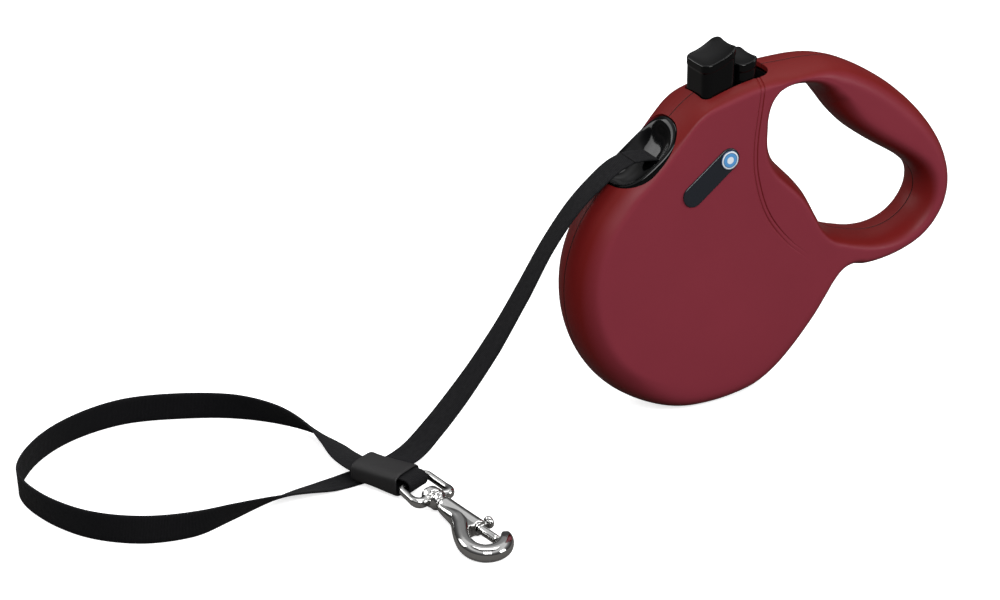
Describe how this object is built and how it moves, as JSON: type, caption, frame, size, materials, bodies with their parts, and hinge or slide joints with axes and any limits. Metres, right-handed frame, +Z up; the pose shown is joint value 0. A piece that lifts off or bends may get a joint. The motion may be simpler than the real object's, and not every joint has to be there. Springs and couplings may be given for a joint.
{
  "type": "retractable leash",
  "caption": "Hand-held retractable tape leash: hollow casing with loop handle, sprung spool, thumb brake with lock, and a flat tape ending in a swivel bolt snap.",
  "frame": {"origin": "middle of the hand grip, inside the casing's hand opening, on the casing's parting plane", "axes": "+Z up as the casing is carried, +X from the tape's exit back to the far end of the handle, +Y along the spool's axle away from the badge side"},
  "size_m": [0.4918, 0.2196, 0.1902],
  "materials": {
    "casing_shell": "satin, finely textured",
    "black_gloss": "gloss",
    "tape": "ribbed woven tape",
    "sleeve_rubber": "matte",
    "hook_chrome": "polished",
    "steel": "plain",
    "spool_nylon": "satin",
    "badge_dark": "gloss",
    "badge_blue": "gloss"
  },
  "bodies": {
    "casing": {"shell_near": "casing_shell", "shell_far": "casing_shell", "screw_1": "steel", "screw_2": "steel", "screw_3": "steel", "screw_4": "steel", "screw_5": "steel", "screw_6": "steel", "exit_bezel": "black_gloss", "badge_plate": "badge_dark", "badge_emblem": "badge_blue", "spool_axle": "steel", "tape_lead": "tape", "brake_spring": "steel", "leash_tape": "tape", "sleeve": "sleeve_rubber", "tape_fold": "tape"},
    "spool": {"spool_drum": "spool_nylon", "spool_flange": "spool_nylon", "spring_cover": "spool_nylon", "tape_coil": "tape", "power_spring": "steel"},
    "button": {"brake_button": "black_gloss"},
    "lock": {"lock_slider": "black_gloss"},
    "eye": {"swivel_eye": "hook_chrome"},
    "hook": {"hook_body": "hook_chrome", "bolt_spring": "steel"},
    "bolt": {"hook_bolt": "hook_chrome"}
  },
  "joints": [
    {"name": "spool_spin", "type": "hinge", "parent": "casing", "child": "spool", "pos_m": [-0.111, 0, -0.061], "axis": [0, 1, 0], "continuous": true},
    {"name": "brake_press", "type": "slide", "parent": "casing", "child": "button", "axis": [0, 0, -1], "range_m": [0, 0.004], "stiffness_N_per_m": 300, "springref_m": -0.003, "deforming": ["brake_spring"]},
    {"name": "lock_slide", "type": "slide", "parent": "casing", "child": "lock", "axis": [0.9725, 0, 0.2329], "range_m": [0, 0.005]},
    {"name": "eye_pivot", "type": "hinge", "parent": "casing", "child": "eye", "pos_m": [-0.28483, -0.03217, -0.1272], "axis": [0.8832, 0.4691, 0], "range_deg": [-70, 70]},
    {"name": "hook_swivel", "type": "hinge", "parent": "eye", "child": "hook", "pos_m": [-0.2828, -0.0528, -0.1279], "axis": [0.169, -0.9845, -0.0471], "continuous": true},
    {"name": "bolt_slide", "type": "slide", "parent": "hook", "child": "bolt", "axis": [-0.169, 0.9845, 0.0471], "range_m": [0, 0.008], "stiffness_N_per_m": 200, "springref_m": -0.004}
  ]
}
